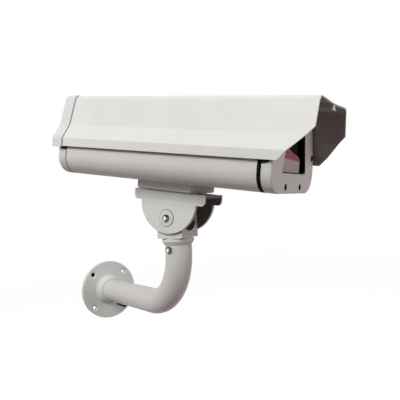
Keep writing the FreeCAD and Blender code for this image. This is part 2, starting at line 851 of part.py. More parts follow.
def make_foot_plate():
    """Spacer plate under the body, tapped for the table and counterbored for its own screws."""
    body = new_body("foot_body")
    outline = sketch_on(body, "foot_outline", "XY_Plane", foot_low)
    half = size("foot_width") / 2
    draw_box(outline, (-size("foot_rear"), -half), (size("foot_front"), half))
    plate = pad(body, outline, body_low - foot_low)
    plate = fillet(body, plate, size("foot_corner"),
                   lambda edge, middle, along: abs(along.z) > 0.99)
    fillet(body, plate, size("foot_end_round"),
           lambda edge, middle, along: abs(along.y) > 0.99 and near(middle.z, foot_low))
    taps = sketch_on(body, "foot_taps", "XY_Plane", foot_low)
    for x, y in table_screw_spots:
        draw_circle(taps, (x, y), size("table_screw_dia") / 2 + size("hole_play"))
    pocket(body, taps, size("table_screw_deep") + 1, backwards=True)
    holes = sketch_on(body, "foot_holes", "XY_Plane", foot_low)
    for x, y in foot_screw_spots:
        draw_circle(holes, (x, y), size("foot_screw_dia") / 2 + size("hole_play"))
    pocket(body, holes)
    sinks = sketch_on(body, "foot_sinks", "XY_Plane", foot_low)
    for x, y in foot_screw_spots:
        draw_circle(sinks, (x, y), (size("foot_screw_head") + size("head_play")) / 2)
    pocket(body, sinks, size("foot_screw_sink"), backwards=True)
    finish(body, "foot_plate", HEAD_FRAME)


def make_bracket_screws():
    """Screws from below: table to foot plate, and foot plate to body."""
    grip = size("table_roof") + size("seat_high") + size("table_screw_deep")
    form = screw_form("table_screw_form", size("table_screw_head"), size("table_screw_head_high"),
                      size("table_screw_dia"), grip, size("table_screw_socket"))
    roof = size("table_high") - size("table_roof")
    places = [(x, y, roof) for x, y in table_screw_spots]
    place_copies("table_screws", form, places, "down", HEAD_FRAME)
    seat = foot_low + size("foot_screw_sink")
    reach = body_low - seat + size("foot_screw_grip")
    form = screw_form("foot_screw_form", size("foot_screw_head"), size("foot_screw_head_high"),
                      size("foot_screw_dia"), reach, size("foot_screw_socket"))
    places = [(x, y, seat) for x, y in foot_screw_spots]
    place_copies("foot_screws", form, places, "down", HEAD_FRAME)


def housing_block(body, name, rear, length):
    """Solid with the housing's outline, from a rear plane forwards."""
    outline = sketch_on(body, name, "YZ_Plane", rear)
    half = size("body_half")
    top = size("body_top_half")
    draw_outline(outline, [
        (-half, body_low), (half, body_low), (half, size("shoulder_high")), (top, size("body_top")),
        (-top, size("body_top")), (-half, size("shoulder_high")),
    ])
    solid = pad(body, outline, length)
    roundings = (("body_low_round", body_low), ("shoulder_round", size("shoulder_high")),
                 ("body_top_round", size("body_top")))
    for radius, high in roundings:
        solid = fillet(body, solid, size(radius),
                       lambda edge, middle, along: abs(along.x) > 0.99 and near(middle.z, high)
                       and abs(middle.y) > top.number * 0.9)
    return solid


def make_body_shell():
    """Extruded tube with a rounded bottom, two ribs on its floor and a screw port in each side."""
    body = new_body("shell_body")
    rear = -size("body_rear")
    length = size("body_rear") + size("body_front")
    solid = housing_block(body, "shell_outline", rear, length)
    solid = hollow(body, solid, size("body_wall"), lambda face, middle, normal: abs(normal.x) > 0.99)
    ribs = sketch_on(body, "shell_ribs", "YZ_Plane", rear)
    half_rib = size("rib_width") / 2
    floor = body_low + size("body_wall") / 2
    for side in (-1, 1):
        centre = side * size("rib_place")
        draw_box(ribs, (centre - half_rib, floor), (centre + half_rib, size("rib_high")))
        draw_circle(ribs, (side * side_port_place, size("side_port_high")),
                    size("side_port_dia") / 2)
    pad(body, ribs, length)
    for name, plane, backwards in (("shell_front_ports", size("body_front"), False),
                                   ("shell_rear_ports", rear, True)):
        ports = sketch_on(body, name, "YZ_Plane", plane)
        for y, z in port_spots:
            draw_circle(ports, (y, z), size("port_bore") / 2)
        pocket(body, ports, size("port_depth"), backwards=backwards)
    taps = sketch_on(body, "shell_foot_taps", "XY_Plane", body_low)
    for x, y in foot_screw_spots:
        draw_circle(taps, (x, y), size("foot_screw_dia") / 2 + size("hole_play"))
    pocket(body, taps, size("foot_screw_grip") + 1, backwards=True)
    tray_taps = sketch_on(body, "shell_tray_taps", "XY_Plane", size("rib_high"))
    for x, y in tray_screw_spots:
        draw_circle(tray_taps, (x, y), size("tray_screw_dia") / 2 + size("hole_play"))
    pocket(body, tray_taps, size("tray_screw_deep") + 1)
    top_taps = sketch_on(body, "shell_top_taps", "XY_Plane", size("body_top"))
    for x in top_screw_spots:
        draw_circle(top_taps, (x, 0), size("top_screw_dia") / 2 + size("hole_play"))
    pocket(body, top_taps, size("body_wall") * 2)
    finish(body, "body_shell", HEAD_FRAME)


top_screw_spots = [size("top_screw_rear"), size("top_screw_front")]
tray_screw_spots = [
    (along, side * size("rib_place"))
    for along in (size("tray_screw_inset") - size("tray_rear"),
                  size("tray_front") - size("tray_screw_inset"))
    for side in (-1, 1)
]


def make_gasket(label, rear, thick):
    """Flat rubber ring that follows the housing's outline."""
    body = new_body(label + "_body")
    solid = housing_block(body, label + "_outline", rear, thick)
    hollow(body, solid, size("gasket_width"), lambda face, middle, normal: abs(normal.x) > 0.99)
    finish(body, label, HEAD_FRAME)


def window_corners(margin_side, margin_end):
    """Corners of the window's outline, moved out by the margins."""
    low = size("window_half_low") + margin_side
    high = size("window_half_high") + margin_side
    bottom = size("window_low") - margin_end
    top = size("window_high") + margin_end
    return [(-low, bottom), (low, bottom), (high, top), (-high, top)]


def window_half(high):
    """Half the window's width at a height."""
    share = (high - size("window_low")) / (size("window_high") - size("window_low"))
    return size("window_half_low") + (size("window_half_high") - size("window_half_low")) * share


def at_window_corner(middle):
    return any(near(middle.y, y) and near(middle.z, z) for y, z in window_corners(0, 0))


retainer_spots = [
    (side * (window_half(size(high)) + size("retainer_screw_out")), size(high))
    for high in ("retainer_screw_low", "retainer_screw_high") for side in (-1, 1)
]
plate_back = face_front - size("cap_wall")
seal_back = plate_back - size("seal_thick")
glass_back = seal_back - size("glass_thick")
retainer_back = glass_back - size("retainer_thick")


def make_front_cap():
    """Cast cap with the window opening, open at the back, with bosses for its screws."""
    body = new_body("front_cap_body")
    solid = housing_block(body, "front_cap_outline", front_gasket_end, size("front_cap_deep"))
    solid = hollow(body, solid, size("cap_wall"),
                   lambda face, middle, normal: near(middle.x, front_gasket_end))
    fillet(body, solid, size("front_edge"),
           lambda edge, middle, along: near(middle.x, face_front))
    bosses = sketch_on(body, "front_cap_bosses", "YZ_Plane", front_gasket_end)
    for y, z in port_spots:
        draw_circle(bosses, (y, z), size("cap_boss_dia") / 2)
    pad(body, bosses, size("front_cap_deep") - size("cap_wall") / 2)
    pillars = sketch_on(body, "front_cap_pillars", "YZ_Plane", glass_back)
    for y, z in retainer_spots:
        draw_circle(pillars, (y, z), size("retainer_boss_dia") / 2)
    pad(body, pillars, face_front - glass_back - size("cap_wall") / 2)
    opening = sketch_on(body, "front_cap_opening", "YZ_Plane", face_front)
    draw_outline(opening, window_corners(0, 0))
    cut = pocket(body, opening)
    fillet(body, cut, size("window_round"),
           lambda edge, middle, along: abs(along.x) > 0.99 and at_window_corner(middle))
    holes = sketch_on(body, "front_cap_holes", "YZ_Plane", face_front)
    for y, z in port_spots:
        draw_circle(holes, (y, z), size("cap_screw_dia") / 2 + size("hole_play"))
    pocket(body, holes)
    sinks = sketch_on(body, "front_cap_sinks", "YZ_Plane", face_front)
    for y, z in port_spots:
        draw_circle(sinks, (y, z), (size("cap_screw_head") + size("head_play")) / 2)
    pocket(body, sinks, size("cap_screw_sink"))
    taps = sketch_on(body, "front_cap_taps", "YZ_Plane", glass_back)
    for y, z in retainer_spots:
        draw_circle(taps, (y, z), size("retainer_screw_dia") / 2 + size("hole_play"))
    pocket(body, taps, size("glass_thick") + 1, backwards=True)
    finish(body, "front_cap", HEAD_FRAME)


def make_window():
    """Rubber seal with a lip in the opening, the pane behind it and the frame that holds both."""
    seal = new_body("window_seal_body")
    ring = sketch_on(seal, "window_seal_ring", "YZ_Plane", seal_back)
    margin = size("glass_margin")
    play = size("hole_play")
    draw_outline(ring, window_corners(margin, margin))
    pad(seal, ring, size("seal_thick"))
    lip = sketch_on(seal, "window_seal_lip", "YZ_Plane", plate_back)
    draw_outline(lip, window_corners(-play, -play))
    collar = pad(seal, lip, size("cap_wall") - size("seal_inset"))
    fillet(seal, collar, size("window_round") - play,
           lambda edge, middle, along: abs(along.x) > 0.99 and middle.x > plate_back.number)
    opening = sketch_on(seal, "window_seal_opening", "YZ_Plane", seal_back)
    inner = size("seal_lip")
    draw_outline(opening, window_corners(-inner, -inner))
    cut = pocket(seal, opening)
    fillet(seal, cut, size("window_round") - inner,
           lambda edge, middle, along: abs(along.x) > 0.99
           and near(edge.Length, size("seal_thick") + size("cap_wall") - size("seal_inset")))
    finish(seal, "window_seal", HEAD_FRAME)
    glass = new_body("window_glass_body")
    pane = sketch_on(glass, "window_glass_pane", "YZ_Plane", glass_back)
    draw_outline(pane, window_corners(margin, margin))
    pad(glass, pane, size("glass_thick"))
    finish(glass, "window_glass", HEAD_FRAME)
    retainer = new_body("window_retainer_body")
    frame = sketch_on(retainer, "window_retainer_frame", "YZ_Plane", retainer_back)
    draw_outline(frame, window_corners(size("retainer_side"), size("retainer_end")))
    draw_outline(frame, window_corners(-size("seal_lip"), -size("seal_lip")))
    pad(retainer, frame, size("retainer_thick"))
    holes = sketch_on(retainer, "window_retainer_holes", "YZ_Plane", retainer_back)
    for y, z in retainer_spots:
        draw_circle(holes, (y, z), size("retainer_screw_dia") / 2 + size("hole_play"))
    pocket(retainer, holes)
    finish(retainer, "window_retainer", HEAD_FRAME)
    form = screw_form("retainer_screw_form", size("retainer_screw_head"),
                      size("retainer_screw_head_high"), size("retainer_screw_dia"),
                      size("retainer_thick") + size("glass_thick"),
                      size("retainer_screw_socket"), domed=True)
    places = [(retainer_back, y, z) for y, z in retainer_spots]
    place_copies("retainer_screws", form, places, "rear", HEAD_FRAME)


def make_rear_cap():
    """Cast cap open to the front, with screw bosses and two bossed cable entries."""
    body = new_body("rear_cap_body")
    solid = housing_block(body, "rear_cap_outline", -face_rear, size("rear_cap_deep"))
    solid = hollow(body, solid, size("cap_wall"),
                   lambda face, middle, normal: near(middle.x, -rear_gasket_end))
    fillet(body, solid, size("rear_edge"),
           lambda edge, middle, along: near(middle.x, -face_rear))
    bosses = sketch_on(body, "rear_cap_bosses", "YZ_Plane", -face_rear + size("cap_wall") / 2)
    for y, z in port_spots:
        draw_circle(bosses, (y, z), size("cap_boss_dia") / 2)
    pad(body, bosses, size("rear_cap_deep") - size("cap_wall") / 2)
    entries = sketch_on(body, "rear_cap_entries", "YZ_Plane", -face_rear + size("cap_wall") / 2)
    for y, z in entry_spots:
        draw_circle(entries, (y, z), size("entry_boss_dia") / 2)
    pad(body, entries, size("cap_wall") / 2 + size("entry_boss_deep"))
    holes = sketch_on(body, "rear_cap_holes", "YZ_Plane", -face_rear)
    for y, z in port_spots:
        draw_circle(holes, (y, z), size("cap_screw_dia") / 2 + size("hole_play"))
    for y, z in entry_spots:
        draw_circle(holes, (y, z), size("entry_dia") / 2 + size("hole_play"))
    pocket(body, holes)
    sinks = sketch_on(body, "rear_cap_sinks", "YZ_Plane", -face_rear)
    for y, z in port_spots:
        draw_circle(sinks, (y, z), (size("cap_screw_head") + size("head_play")) / 2)
    pocket(body, sinks, size("cap_screw_sink"), backwards=True)
    finish(body, "rear_cap", HEAD_FRAME)


entry_spots = [(side * size("entry_place"), size("entry_high")) for side in (-1, 1)]


def make_cap_screws():
    form = screw_form("cap_screw_form", size("cap_screw_head"), size("cap_screw_head_high"),
                      size("cap_screw_dia"), size("cap_screw_long"), size("cap_screw_socket"))
    front = face_front - size("cap_screw_sink")
    rear = size("cap_screw_sink") - face_rear
    place_copies("front_cap_screws", form, [(front, y, z) for y, z in port_spots], "front", HEAD_FRAME)
    place_copies("rear_cap_screws", form, [(rear, y, z) for y, z in port_spots], "rear", HEAD_FRAME)


def make_cable_plugs():
    """Blanking plugs of the two cable entries, each on a flat seal."""
    play = size("hole_play")
    seal = new_body("plug_seal_form")
    ring = sketch_on(seal, "plug_seal_ring", "XY_Plane")
    draw_circle(ring, (0, 0), size("plug_flange_dia") / 2)
    draw_circle(ring, (0, 0), size("entry_dia") / 2 + play)
    pad(seal, ring, size("plug_seal_thick"))
    places = [(-face_rear, y, z) for y, z in entry_spots]
    place_copies("plug_seals", seal, places, "rear", HEAD_FRAME)
    form = screw_form("cable_plug_form", size("plug_flange_dia"), size("plug_flange_high"),
                      size("entry_dia"), size("plug_length"), size("plug_socket"))
    outer = -face_rear - size("plug_seal_thick")
    place_copies("cable_plugs", form, [(outer, y, z) for y, z in entry_spots], "rear", HEAD_FRAME)


def shield_block(body, name, rear, length, proud, low):
    """Solid with the sunshield's outline: dipped top, steep sides, flares and upright lips."""
    outline = sketch_on(body, name, "YZ_Plane", rear)
    top = shield_top + proud
    right = [
        (shield_half + proud, low), (shield_half + proud, shield_fold),
        (shield_kink_half + proud, shield_kink), (shield_top_half + proud, top),
        (size("shield_flat_half"), top - size("shield_dip")),
    ]
    left = [(-y, z) for y, z in reversed(right)]
    draw_outline(outline, right + left)
    solid = pad(body, outline, length)
    for radius, high in (("shield_top_round", top), ("shield_fold_round", shield_kink),
                         ("shield_fold_round", shield_fold)):
        solid = fillet(body, solid, size(radius),
                       lambda edge, middle, along: abs(along.x) > 0.99 and near(middle.z, high))
    return solid


def make_sunshield():
    """Extruded sunshield with a centre rail, its front cut back on a slant below the cut line."""
    body = new_body("shield_body")
    rear = -shield_rear
    length = shield_rear + shield_front
    solid = shield_block(body, "shield_outline", rear, length, as_size(0), shield_low)
    hollow(body, solid, size("shield_wall"),
           lambda face, middle, normal: abs(normal.x) > 0.99 or near(middle.z, shield_low))
    rail = sketch_on(body, "shield_rail", "YZ_Plane", rear)
    web = size("rail_web") / 2
    foot = size("rail_flange") / 2
    low = size("body_top")
    flange_top = low + size("rail_flange_high")
    roof = shield_top - size("shield_dip") - size("shield_wall") / 2
    draw_outline(rail, [
        (-foot, low), (foot, low), (foot, flange_top), (web, flange_top), (web, roof),
        (-web, roof), (-web, flange_top), (-foot, flange_top),
    ])
    pad(body, rail, length)
    cut = sketch_on(body, "shield_cut", "XZ_Plane")
    margin = size("cut_margin")
    cut_high = size("shoulder_high") + size("cut_rise")
    cut_low_front = face_front + size("cut_low_over")
    slope = (shield_front - cut_low_front) / (cut_high - shield_low)
    draw_outline(cut, [
        (shield_front, cut_high), (shield_front + margin, cut_high),
        (shield_front + margin, shield_low - margin),
        (cut_low_front - slope * margin, shield_low - margin),
    ])
    pocket(body, cut)
    tap = sketch_on(body, "shield_end_tap", "YZ_Plane", rear)
    draw_circle(tap, (0, end_screw_high), size("end_screw_dia") / 2 + size("hole_play"))
    pocket(body, tap, size("end_screw_long"), backwards=True)
    holes = sketch_on(body, "shield_holes", "XY_Plane", shield_top)
    for x in top_screw_spots:
        draw_circle(holes, (x, 0), size("top_screw_dia") / 2 + size("hole_play"))
    pocket(body, holes)
    finish(body, "sunshield", HEAD_FRAME)


end_screw_high = (size("body_top") + size("rail_flange_high") + shield_top
                  - size("shield_dip") - size("shield_wall")) / 2
shield_end_front = shield_rear + size("end_gap")
shield_end_rear = shield_end_front + size("end_deep")
shield_end_low = shield_low - size("end_drop")


def make_sunshield_end():
    """Moulded end cap with the sunshield's outline, closed at the back and open below."""
    body = new_body("shield_end_body")
    solid = shield_block(body, "shield_end_outline", -shield_end_rear, size("end_deep"),
                         size("end_proud"), shield_end_low)
    hollow(body, solid, size("end_wall"),
           lambda face, middle, normal: near(middle.x, -shield_end_front)
           or near(middle.z, shield_end_low))
    boss = sketch_on(body, "shield_end_boss", "YZ_Plane", -shield_end_rear + size("end_wall") / 2)
    draw_circle(boss, (0, end_screw_high), size("end_boss_dia") / 2)
    pad(body, boss, size("end_deep") - size("end_wall") / 2 + size("end_gap") - size("hole_play"))
    hole = sketch_on(body, "shield_end_hole", "YZ_Plane", -shield_end_rear)
    draw_circle(hole, (0, end_screw_high), size("end_screw_dia") / 2 + size("hole_play"))
    pocket(body, hole)
    finish(body, "sunshield_end", HEAD_FRAME)
    form = screw_form("end_screw_form", size("end_screw_head"), size("end_screw_head_high"),
                      size("end_screw_dia"), size("end_screw_long"), size("end_screw_socket"),
                      domed=True)
    place = (-shield_end_rear, as_size(0), end_screw_high)
    place_copies("sunshield_end_screw", form, [place], "rear", HEAD_FRAME)


def make_top_screws():
    """Screws and washers that clamp the sunshield's rail on the body."""
    seat = shield_top - size("shield_dip")
    washer = new_body("top_washer_form")
    ring = sketch_on(washer, "top_washer_ring", "XY_Plane")
    draw_circle(ring, (0, 0), size("top_washer_dia") / 2)
    draw_circle(ring, (0, 0), size("top_screw_dia") / 2 + size("hole_play"))
    pad(washer, ring, size("top_washer_high"))
    places = [(x, as_size(0), seat) for x in top_screw_spots]
    place_copies("sunshield_washers", washer, places, "up", HEAD_FRAME)
    head = seat + size("top_washer_high")
    reach = head - size("body_top") + size("top_screw_grip")
    form = screw_form("top_screw_form", size("top_screw_head"), size("top_screw_head_high"),
                      size("top_screw_dia"), reach, size("top_screw_socket"), domed=True)
    places = [(x, as_size(0), head) for x in top_screw_spots]
    place_copies("sunshield_screws", form, places, "up", HEAD_FRAME)


def make_camera_tray():
    """Sheet tray on the body's ribs, with upturned sides and a slot for the camera screw."""
    body = new_body("tray_body")
    low = size("rib_high")
    profile = sketch_on(body, "tray_profile", "YZ_Plane", -size("tray_rear"))
    half = size("tray_half")
    wall = size("tray_wall")
    top = low + size("tray_rim")
    draw_outline(profile, [
        (-half, low), (half, low), (half, top), (half - wall, top), (half - wall, low + wall),
        (wall - half, low + wall), (wall - half, top), (-half, top),
    ])
    pad(body, profile, size("tray_rear") + size("tray_front"))
    slot = sketch_on(body, "tray_slot", "XY_Plane", low)
    half_slot = size("tray_slot_length") / 2
    half_wide = size("tray_slot_width") / 2
    draw_box(slot, (-half_slot, -half_wide), (half_slot, half_wide))
    pocket(body, slot)
    holes = sketch_on(body, "tray_holes", "XY_Plane", low)
    for x, y in tray_screw_spots:
        draw_circle(holes, (x, y), size("tray_screw_dia") / 2 + size("hole_play"))
    pocket(body, holes)
    finish(body, "camera_tray", HEAD_FRAME)
    form = screw_form("tray_screw_form", size("tray_screw_head"), size("tray_screw_head_high"),
                      size("tray_screw_dia"), size("tray_screw_deep") + wall,
                      size("tray_screw_socket"), domed=True)
    places = [(x, y, low + wall) for x, y in tray_screw_spots]
    place_copies("tray_screws", form, places, "up", HEAD_FRAME)
    form = screw_form("camera_screw_form", size("camera_screw_head"), size("camera_screw_head_high"),
                      size("camera_screw_dia"), wall + size("camera_screw_up"),
                      size("camera_screw_socket"))
    place_copies("camera_screw", form, [(as_size(0), as_size(0), low)], "down", HEAD_FRAME)


make_wall_flange()
make_arm_pipe()
make_set_screws()
make_swivel_yoke()
make_tilt_table()
make_tilt_bolt()
make_foot_plate()
make_bracket_screws()
make_body_shell()
make_gasket("front_gasket", size("body_front"), size("front_gasket_thick"))
make_gasket("rear_gasket", -rear_gasket_end, size("rear_gasket_thick"))
make_front_cap()
make_window()
make_rear_cap()
make_cap_screws()
make_cable_plugs()
make_sunshield()
make_sunshield_end()
make_top_screws()
make_camera_tray()
doc.recompute()

for item in doc.Objects:
    if "Invalid" in item.State or "Error" in item.State:
        raise RuntimeError("%s failed: %s" % (item.Name, item.State))
for item in parts:
    if item.Shape.isNull() or not item.Shape.isValid():
        raise RuntimeError("%s has no valid shape" % item.Label)

os.makedirs("parts", exist_ok=True)
for item in parts:
    item.Shape.exportStep("parts/%s.step" % item.Label)
    solids = len(item.Shape.Solids)
    print("%s: %d solid(s), %.0f mm3" % (item.Label, solids, item.Shape.Volume))
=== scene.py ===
import bpy
import math
from mathutils import Euler, Matrix, Vector


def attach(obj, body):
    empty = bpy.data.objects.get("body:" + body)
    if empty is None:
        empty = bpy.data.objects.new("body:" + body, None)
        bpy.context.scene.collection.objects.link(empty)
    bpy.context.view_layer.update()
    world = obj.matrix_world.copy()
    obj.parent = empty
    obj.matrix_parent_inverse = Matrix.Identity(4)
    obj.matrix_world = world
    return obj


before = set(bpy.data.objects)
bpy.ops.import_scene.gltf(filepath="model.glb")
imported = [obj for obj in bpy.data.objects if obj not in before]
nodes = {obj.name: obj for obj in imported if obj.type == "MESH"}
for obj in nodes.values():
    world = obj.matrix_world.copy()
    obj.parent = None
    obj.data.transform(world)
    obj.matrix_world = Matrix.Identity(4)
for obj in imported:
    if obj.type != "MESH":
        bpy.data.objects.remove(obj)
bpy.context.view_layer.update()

# The camera stands a little to the left of the arm, level with the swivel, and is tipped over by a
# few degrees as a hand-held shot is. It sees the housing's right side and a sliver of its front.
bpy.ops.object.camera_add(location=(-0.37047, -0.83399, 0.14256))
camera = bpy.context.object
camera.rotation_euler = [math.radians(turn) for turn in (90.7, 3.28, -35.14)]
camera.data.sensor_width = 36.0
camera.data.lens = 43.722
camera.data.clip_start = 0.01
bpy.context.scene.camera = camera
bpy.context.scene.view_settings.view_transform = "Standard"


# Soft studio light: a large key panel on the housing's right side, a weak one overhead, another
# from the wall's side, and a slightly warm one in front of the window. The room gives little light
# of its own, but the camera, the gloss and the window see it as plain white.
def soft_panel(name, place, aim, wide, power, tint):
    """Square soft light at a place, turned towards a point."""
    bpy.ops.object.light_add(type="AREA", location=place)
    panel = bpy.context.object
    panel.name = name
    panel.data.size = wide
    panel.data.energy = power
    panel.data.color = tint
    panel.rotation_euler = (Vector(aim) - Vector(place)).to_track_quat("-Z", "Y").to_euler()


def math_step(tree, kind, operation, *terms):
    """Result of a node, kind Math or VectorMath, whose terms are sockets or plain values."""
    step = tree.nodes.new("ShaderNode" + kind)
    step.operation = operation
    for entry, term in zip(step.inputs, terms):
        if isinstance(term, bpy.types.NodeSocket):
            tree.links.new(term, entry)
        else:
            entry.default_value = term
    gives_number = kind == "Math" or operation in ("DOT_PRODUCT", "LENGTH")
    return step.outputs["Value" if gives_number else "Vector"]


def seen_directly(tree):
    """1 for the rays of the camera, of gloss and of glass, and 0 for the rest."""
    rays = tree.nodes.new("ShaderNodeLightPath").outputs
    either = math_step(tree, "Math", "MAXIMUM", rays["Is Glossy Ray"], rays["Is Transmission Ray"])
    return math_step(tree, "Math", "MAXIMUM", rays["Is Camera Ray"], either)


def glow(tree, kind, colour, strength):
    """Background or Emission shader of one colour."""
    source = tree.nodes.new("ShaderNode" + kind)
    source.inputs["Color"].default_value = (*colour, 1.0)
    source.inputs["Strength"].default_value = strength
    return source.outputs[0]


def shader_mix(tree, mask, first, second):
    """The first shader where the mask is 0, and the second where it is 1."""
    mix = tree.nodes.new("ShaderNodeMixShader")
    tree.links.new(mask, mix.inputs["Fac"])
    tree.links.new(first, mix.inputs[1])
    tree.links.new(second, mix.inputs[2])
    return mix.outputs[0]


head_middle = (0.02, -0.28, 0.20)
soft_panel("side_key_panel", (-1.67, -1.04, 1.42), head_middle, 1.1, 35.5, (1.0, 0.995, 0.985))
soft_panel("top_panel", (0.02, -0.28, 2.2), head_middle, 1.2, 8.0, (1.0, 1.0, 1.0))
soft_panel("front_fill_panel", (0.86, -1.52, 0.40), head_middle, 1.0, 7.2, (1.0, 0.86, 0.845))
soft_panel("wall_side_panel", (-1.66, 0.62, 0.70), head_middle, 0.9, 7.0, (1.0, 0.99, 0.975))

white = (1.0, 1.0, 1.0)
world = bpy.data.worlds.new("pale_room")
bpy.context.scene.world = world
world.use_nodes = True
room = world.node_tree
room.nodes.clear()
room_light = glow(room, "Background", (1.0, 0.92, 0.90), 0.08)
room_seen = glow(room, "Background", white, 1.0)
room_out = room.nodes.new("ShaderNodeOutputWorld")
room.links.new(shader_mix(room, seen_directly(room), room_light, room_seen),
               room_out.inputs["Surface"])

# The floor is a plain sheet of white paper well below the arm. It shows white, a shade darker where
# the object's shadow falls on it.
bpy.ops.mesh.primitive_plane_add(size=14.0, location=(0.0, 0.0, -0.9))
floor = bpy.context.object
floor.name = "floor"
white_paper = bpy.data.materials.new("white_paper")
white_paper.use_nodes = True
paper = white_paper.node_tree
paper.nodes.clear()
paper_diffuse = paper.nodes.new("ShaderNodeBsdfDiffuse")
paper_diffuse.inputs["Color"].default_value = (0.28, 0.213, 0.205, 1.0)
paper_dark = glow(paper, "Emission", white, 0.0)
paper_white = glow(paper, "Emission", white, 0.97)
paper_sum = paper.nodes.new("ShaderNodeAddShader")
paper.links.new(paper_diffuse.outputs[0], paper_sum.inputs[0])
paper.links.new(shader_mix(paper, seen_directly(paper), paper_dark, paper_white),
                paper_sum.inputs[1])
paper_out = paper.nodes.new("ShaderNodeOutputMaterial")
paper.links.new(paper_sum.outputs[0], paper_out.inputs["Surface"])
floor.data.materials.append(white_paper)


# Wall flange: a round cast aluminium plate with a tapered hub, screwed to the wall through four
# countersunk holes and powder coated light grey. Its skin has a fine orange peel, a soft mottle and
# softened edges. The walls of the drilled holes and the pocket in its face are painted near black,
# a painted shade for the dark inside them.
def principled(name):
    """New material, with its node tree and the inputs of its Principled shader."""
    material = bpy.data.materials.new(name)
    material.use_nodes = True
    tree = material.node_tree
    return material, tree, tree.nodes["Principled BSDF"].inputs


def noise(tree, scale, detail):
    """Cloudy pattern in the piece's own space."""
    place = tree.nodes.new("ShaderNodeTexCoord")
    cloud = tree.nodes.new("ShaderNodeTexNoise")
    cloud.inputs["Scale"].default_value = scale
    cloud.inputs["Detail"].default_value = detail
    tree.links.new(place.outputs["Object"], cloud.inputs["Vector"])
    return cloud.outputs["Fac"]


def shaded(tree, cloud, dark, light, start=0.0, end=1.0):
    """Colour that goes from dark to light as the pattern goes from start to end."""
    tint = tree.nodes.new("ShaderNodeValToRGB")
    for stop, position, colour in zip(tint.color_ramp.elements, (start, end), (dark, light)):
        stop.position = position
        stop.color = (*colour, 1.0)
    tree.links.new(cloud, tint.inputs["Fac"])
    return tint.outputs["Color"]


def spread(tree, cloud, low, high):
    """Number that goes from low to high with the pattern."""
    span = tree.nodes.new("ShaderNodeMapRange")
    span.inputs["To Min"].default_value = low
    span.inputs["To Max"].default_value = high
    tree.links.new(cloud, span.inputs["Value"])
    return span.outputs["Result"]


def raised(tree, cloud, strength, distance):
    """Bump node that raises the skin by the pattern."""
    bump = tree.nodes.new("ShaderNodeBump")
    bump.inputs["Strength"].default_value = strength
    bump.inputs["Distance"].default_value = distance
    tree.links.new(cloud, bump.inputs["Height"])
    return bump


def powder_coat(name, colour, rough=0.42, peel=0.12):
    """Sprayed and baked powder paint: fine orange peel, a faint mottle and soft edges."""
    paint, tree, look = principled(name)
    look["Specular IOR Level"].default_value = 0.3
    cloud = noise(tree, 22.0, 4.0)
    mottled = [part * 0.95 for part in colour]
    tree.links.new(shaded(tree, cloud, mottled, colour, 0.3, 0.7), look["Base Color"])
    tree.links.new(spread(tree, cloud, rough - 0.05, rough + 0.06), look["Roughness"])
    soft_edge = tree.nodes.new("ShaderNodeBevel")
    soft_edge.samples = 4
    soft_edge.inputs["Radius"].default_value = 0.0005
    bump = raised(tree, noise(tree, 850.0, 2.0), peel, 0.0004)
    tree.links.new(soft_edge.outputs["Normal"], bump.inputs["Normal"])
    tree.links.new(bump.outputs["Normal"], look["Normal"])
    return paint


def finish_node(name, material):
    """Gives a CAD node its finished material."""
    for holder in nodes[name].material_slots:
        holder.material = material


def paint_over(paint, mask, colour):
    """Puts a plain colour over the paint where the mask is 1. A mask below 0 counts as 0."""
    tree = paint.node_tree
    base = tree.nodes["Principled BSDF"].inputs["Base Color"]
    coat = base.links[0].from_socket
    choice = tree.nodes.new("ShaderNodeMix")
    choice.data_type = "RGBA"
    choice.inputs["B"].default_value = (*colour, 1.0)
    tree.links.new(mask, choice.inputs["Factor"])
    tree.links.new(coat, choice.inputs["A"])
    tree.links.new(choice.outputs["Result"], base)


def near_line(tree, spot, across, middle, reach):
    """1 where a spot is nearer than reach to a line; across is 0 along the line and 1 elsewhere."""
    away = math_step(tree, "VectorMath", "SUBTRACT", spot, middle)
    flat = math_step(tree, "VectorMath", "MULTIPLY", away, across)
    span = math_step(tree, "VectorMath", "LENGTH", flat)
    return math_step(tree, "Math", "LESS_THAN", span, reach)


def folded(tree, spot):
    """The spot's place with its signs dropped, so that what is at one corner is at every corner."""
    return math_step(tree, "VectorMath", "ABSOLUTE", spot)


def along(tree, spot, axis):
    """The spot's place along one axis, named X, Y or Z."""
    split = tree.nodes.new("ShaderNodeSeparateXYZ")
    tree.links.new(spot, split.inputs[0])
    return split.outputs[axis]


# The flange's paint is lighter and greener than the pipe's, though both are one paint: painted
# light, which lifts the flange where the pipe keeps the fill light off it.
flange_paint = powder_coat("flange_paint", (0.765, 0.805, 0.782))
flange = flange_paint.node_tree
flange_spot = flange.nodes.new("ShaderNodeTexCoord").outputs["Object"]
flange_corner = folded(flange, flange_spot)
hole_shade_black = (0.045, 0.043, 0.040)
round_y = (1.0, 0.0, 1.0)
bolt_circle_radius = 0.04175
hole_place = bolt_circle_radius * math.cos(math.radians(45.0))
hole_middle = (hole_place, 0.0, hole_place)
hole_radius = 0.0034
sink_radius = 0.0047
# The walls of the four holes are painted near black: painted shade.
paint_over(flange_paint, near_line(flange, flange_corner, round_y, hole_middle, hole_radius),
           hole_shade_black)
# The pocket beside the hub is painted near black too, a painted shade, but its countersinks are
# not.
pocket_middle = (0.0218, 0.0, -0.0317)
pocket_reach = 0.0122
pocket_half_way_in = -0.0029
pocket_half_depth = 0.0024
pocket_round = near_line(flange, flange_spot, round_y, pocket_middle, pocket_reach)
pocket_deep = math_step(flange, "Math", "COMPARE", along(flange, flange_spot, "Y"),
                        pocket_half_way_in, pocket_half_depth)
pocket_inside = math_step(flange, "Math", "MULTIPLY", pocket_round, pocket_deep)
sunk = near_line(flange, flange_corner, round_y, hole_middle, sink_radius)
paint_over(flange_paint, math_step(flange, "Math", "SUBTRACT", pocket_inside, sunk), hole_shade_black)
finish_node("wall_flange", flange_paint)


